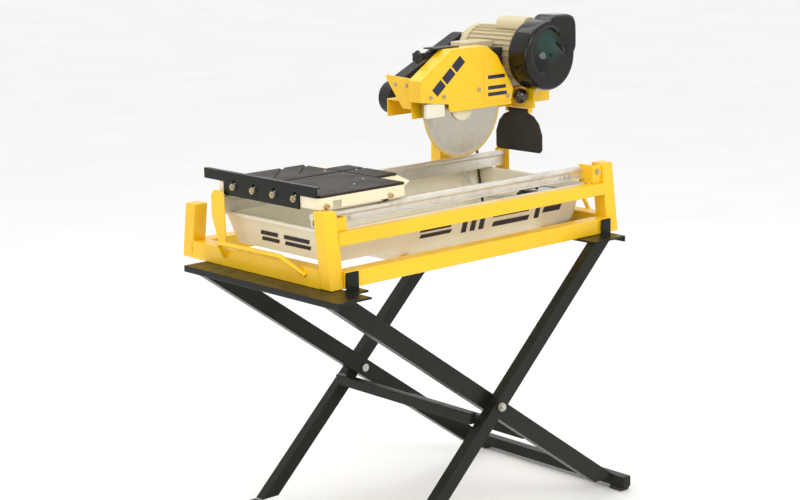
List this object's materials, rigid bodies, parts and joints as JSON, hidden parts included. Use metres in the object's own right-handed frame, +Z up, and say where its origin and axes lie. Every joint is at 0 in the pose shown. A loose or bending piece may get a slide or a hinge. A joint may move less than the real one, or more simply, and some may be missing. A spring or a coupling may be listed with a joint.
{
  "type": "tile cutter",
  "caption": "Yellow wet tile saw with a tilting motor head, sliding cart and water pan on a black folding scissor stand.",
  "frame": {"origin": "on the floor under the middle of the whole machine, saw, stand and motor included", "axes": "+Z up, +X along the cart's travel from the operator's end towards the blade, +Y across the machine away from the open near side towards the column"},
  "size_m": [1.026, 0.641, 1.166],
  "materials": {
    "black_steel": "satin",
    "yellow_paint": "gloss",
    "aluminium": "satin",
    "zinc_steel": "satin",
    "blade_steel": "satin",
    "cream_plastic": "satin",
    "black_plastic": "gloss",
    "dark_plastic": "matte",
    "rubber": "matte",
    "cart_casting": "satin",
    "motor_paint": "satin",
    "clear_hose": "gloss"
  },
  "bodies": {
    "stand_a": {"stand_left_top": "black_steel", "stand_legs_a": "black_steel", "stand_bars_a": "black_steel", "stand_feet_a": "rubber", "scissor_bolts": "zinc_steel"},
    "stand_b": {"stand_right_top": "black_steel", "stand_legs_b": "black_steel", "stand_bars_b": "black_steel", "stand_feet_b": "rubber"},
    "saw_frame": {"base_rail_near": "yellow_paint", "base_rail_far": "yellow_paint", "end_beams": "yellow_paint", "post_near_left": "yellow_paint", "post_near_right": "yellow_paint", "post_far_left": "yellow_paint", "post_far_right": "yellow_paint", "upper_rail_near": "yellow_paint", "rail_brackets": "yellow_paint", "guide_rail_near": "aluminium", "guide_rail_far": "aluminium", "carry_handles": "yellow_paint", "head_column": "yellow_paint", "water_pan": "cream_plastic", "drain_plug": "dark_plastic", "water_pump": "dark_plastic", "pump_lead": "rubber", "hose_lower": "clear_hose", "frame_bolts": "zinc_steel"},
    "cart": {"cart_table": "cart_casting", "cart_mats": "rubber", "fence": "black_steel", "cart_fasteners": "zinc_steel"},
    "roller_nl": {"roller_near_left": "dark_plastic"},
    "roller_nr": {"roller_near_right": "dark_plastic"},
    "roller_fl": {"roller_far_left": "dark_plastic"},
    "roller_fr": {"roller_far_right": "dark_plastic"},
    "head": {"head_arm": "yellow_paint", "blade_guard": "yellow_paint", "belt_guard": "black_plastic", "drive_belt": "rubber", "bearing_housing": "yellow_paint", "motor_body": "motor_paint", "fan_cover": "black_plastic", "capacitor_cover": "motor_paint", "switch_box": "dark_plastic", "spray_shoe": "cream_plastic", "valve_body": "dark_plastic", "hose_upper": "clear_hose", "pivot_pin": "zinc_steel", "flap_bracket": "yellow_paint"},
    "spindle": {"blade": "blade_steel", "arbor_shaft": "zinc_steel", "blade_flanges": "zinc_steel", "arbor_pulley": "zinc_steel"},
    "rotor": {"motor_rotor": "zinc_steel", "cooling_fan": "dark_plastic"},
    "knob": {"lock_knob": "dark_plastic"},
    "valve": {"valve_handle": "dark_plastic"},
    "flap": {"splash_flap": "rubber"},
    "rocker": {"switch_rocker": "dark_plastic"}
  },
  "joints": [
    {"name": "stand_fold", "type": "hinge", "parent": "stand_a", "child": "stand_b", "pos_m": [-0.007, -0.014, 0.313], "axis": [0, -1, 0], "range_deg": [0, 87]},
    {"name": "saw_lift", "type": "slide", "parent": "stand_a", "child": "saw_frame", "axis": [0, 0, 1], "range_m": [0, 0.92]},
    {"name": "cart_slide", "type": "slide", "parent": "saw_frame", "child": "cart", "axis": [1, 0, 0], "range_m": [0, 0.49]},
    {"name": "head_pivot", "type": "hinge", "parent": "saw_frame", "child": "head", "pos_m": [0.359, 0.2645, 0.92], "axis": [0, 1, 0], "range_deg": [0, 25]},
    {"name": "blade_spin", "type": "hinge", "parent": "head", "child": "spindle", "pos_m": [0.183, 0.0365, 0.964], "axis": [0, 1, 0], "continuous": true},
    {"name": "motor_spin", "type": "hinge", "parent": "head", "child": "rotor", "pos_m": [0.407, 0.1145, 1.07], "axis": [0, 1, 0], "continuous": true},
    {"name": "lock_knob_turn", "type": "hinge", "parent": "head", "child": "knob", "pos_m": [0.365, 0.0165, 0.97], "axis": [1, 0, 0], "range_deg": [0, 180]},
    {"name": "valve_turn", "type": "hinge", "parent": "head", "child": "valve", "pos_m": [0.075, 0.0745, 1.086], "axis": [1, 0, 0], "range_deg": [0, 90]},
    {"name": "flap_swing", "type": "hinge", "parent": "head", "child": "flap", "pos_m": [0.3885, 0.0455, 0.931], "axis": [0, -1, 0], "range_deg": [0, 40]},
    {"name": "switch_rock", "type": "hinge", "parent": "head", "child": "rocker", "pos_m": [0.311, 0.0745, 1.071], "axis": [0, 1, 0], "range_deg": [-6, 6]},
    {"name": "roller_nl_turn", "type": "hinge", "parent": "cart", "child": "roller_nl", "pos_m": [-0.422, -0.1595, 0.8253], "axis": [0, 1, 0], "range_deg": [0, 1963.8]},
    {"name": "roller_nr_turn", "type": "hinge", "parent": "cart", "child": "roller_nr", "pos_m": [-0.241, -0.1595, 0.8253], "axis": [0, 1, 0], "range_deg": [0, 1963.8]},
    {"name": "roller_fl_turn", "type": "hinge", "parent": "cart", "child": "roller_fl", "pos_m": [-0.422, 0.1685, 0.8253], "axis": [0, 1, 0], "range_deg": [0, 1963.8]},
    {"name": "roller_fr_turn", "type": "hinge", "parent": "cart", "child": "roller_fr", "pos_m": [-0.241, 0.1685, 0.8253], "axis": [0, 1, 0], "range_deg": [0, 1963.8]}
  ],
  "couplings": [
    {"joint": "saw_lift", "follows": "stand_fold", "m_per_rad": 0.6},
    {"joint": "motor_spin", "follows": "blade_spin", "ratio": 1.1678},
    {"joint": "roller_nl_turn", "follows": "cart_slide", "rad_per_m": 69.93},
    {"joint": "roller_nr_turn", "follows": "cart_slide", "rad_per_m": 69.93},
    {"joint": "roller_fl_turn", "follows": "cart_slide", "rad_per_m": 69.93},
    {"joint": "roller_fr_turn", "follows": "cart_slide", "rad_per_m": 69.93}
  ]
}
